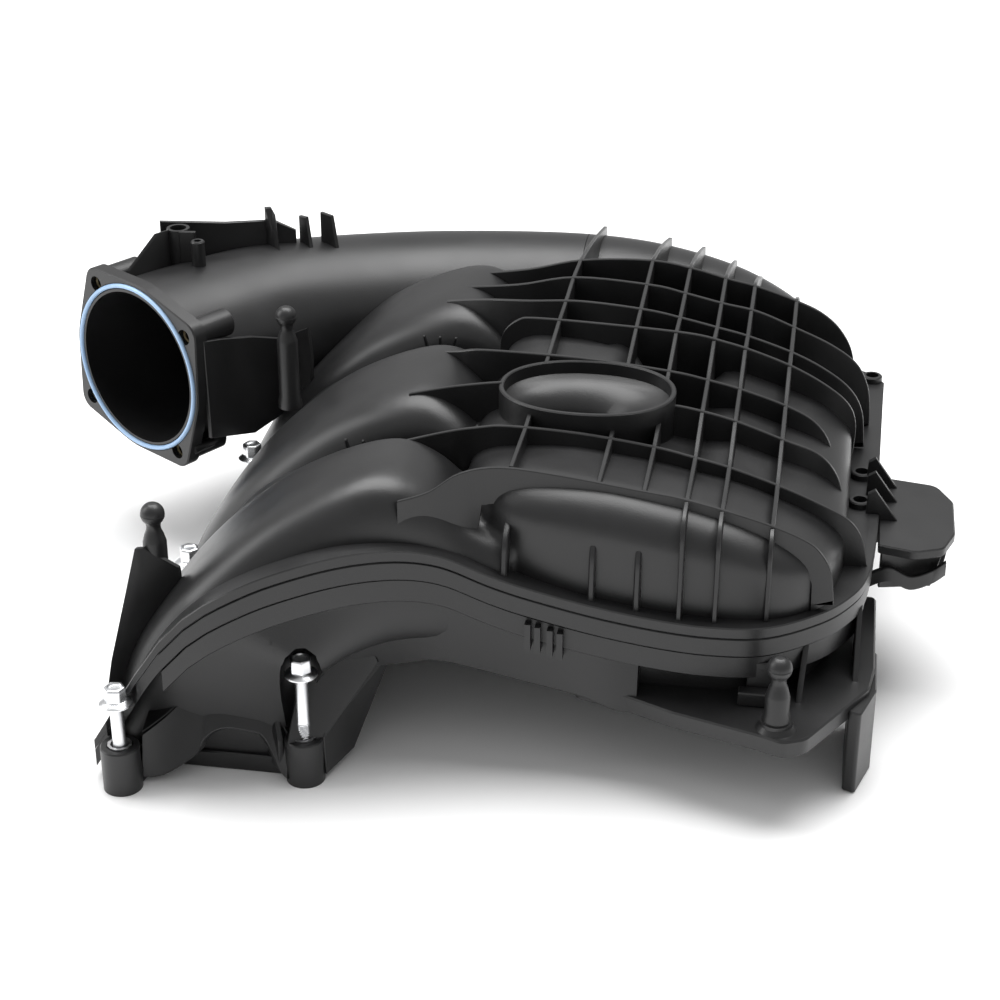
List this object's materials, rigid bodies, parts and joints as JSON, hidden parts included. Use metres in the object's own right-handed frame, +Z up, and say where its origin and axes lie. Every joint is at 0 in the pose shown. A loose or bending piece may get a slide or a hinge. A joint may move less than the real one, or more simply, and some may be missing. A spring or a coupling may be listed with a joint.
{
  "type": "intake manifold",
  "caption": "Moulded engine intake manifold: ribbed plenum, humped double runners, inlet duct with throttle flange, captive bolts and ball studs for a cover.",
  "frame": {"origin": "underside of the port flange, on the web between the two ports of the middle runner pair", "axes": "+X from the ports towards the plenum's closed end, +Y from the front runner towards the inlet duct, +Z up, away from the engine"},
  "size_m": [0.4249, 0.3988, 0.1501],
  "materials": {
    "black_nylon": "satin, fine moulded grain",
    "inner_nylon": "satin",
    "zinc_steel": "bright zinc plated",
    "sleeve_steel": "plain rolled steel",
    "insert_brass": "turned",
    "blue_silicone": "satin silicone",
    "seal_rubber": "satin rubber"
  },
  "bodies": {
    "manifold": {"cover_stud_front_left": "black_nylon", "cover_stud_front_right": "black_nylon", "cover_stud_rear_left": "black_nylon", "inlet_duct": "black_nylon", "lower_shell": "black_nylon", "port_seal_front_inner": "seal_rubber", "port_seal_front_outer": "seal_rubber", "port_seal_middle_inner": "seal_rubber", "port_seal_middle_outer": "seal_rubber", "port_seal_rear_inner": "seal_rubber", "port_seal_rear_outer": "seal_rubber", "runner_divider_front": "inner_nylon", "runner_divider_middle": "inner_nylon", "runner_divider_rear": "inner_nylon", "side_bracket": "black_nylon", "sleeve_inner_1": "sleeve_steel", "sleeve_inner_2": "sleeve_steel", "sleeve_inner_3": "sleeve_steel", "sleeve_outer_1": "sleeve_steel", "sleeve_outer_2": "sleeve_steel", "sleeve_outer_3": "sleeve_steel", "sleeve_outer_4": "sleeve_steel", "throttle_insert_1": "insert_brass", "throttle_insert_2": "insert_brass", "throttle_insert_3": "insert_brass", "throttle_insert_4": "insert_brass", "throttle_seal": "blue_silicone", "upper_shell": "black_nylon"},
    "bolt_outer_1": {"bolt_outer_1": "zinc_steel"},
    "bolt_outer_2": {"bolt_outer_2": "zinc_steel"},
    "bolt_outer_3": {"bolt_outer_3": "zinc_steel"},
    "bolt_outer_4": {"bolt_outer_4": "zinc_steel"},
    "bolt_inner_1": {"bolt_inner_1": "zinc_steel"},
    "bolt_inner_2": {"bolt_inner_2": "zinc_steel"},
    "bolt_inner_3": {"bolt_inner_3": "zinc_steel"}
  },
  "joints": [
    {"name": "bolt_outer_1_slide", "type": "slide", "parent": "manifold", "child": "bolt_outer_1", "axis": [0, 0, 1], "range_m": [-0.0185, 0.0125]},
    {"name": "bolt_outer_2_slide", "type": "slide", "parent": "manifold", "child": "bolt_outer_2", "axis": [0, 0, 1], "range_m": [-0.027, 0.004]},
    {"name": "bolt_outer_3_slide", "type": "slide", "parent": "manifold", "child": "bolt_outer_3", "axis": [0, 0, 1], "range_m": [-0.029, 0.002]},
    {"name": "bolt_outer_4_slide", "type": "slide", "parent": "manifold", "child": "bolt_outer_4", "axis": [0, 0, 1], "range_m": [-0.019, 0.001]},
    {"name": "bolt_inner_1_slide", "type": "slide", "parent": "manifold", "child": "bolt_inner_1", "axis": [0, 0, 1], "range_m": [-0.0285, 0.0025]},
    {"name": "bolt_inner_2_slide", "type": "slide", "parent": "manifold", "child": "bolt_inner_2", "axis": [0, 0, 1], "range_m": [-0.022, 0.009]},
    {"name": "bolt_inner_3_slide", "type": "slide", "parent": "manifold", "child": "bolt_inner_3", "axis": [0, 0, 1], "range_m": [-0.02, 0.011]}
  ]
}
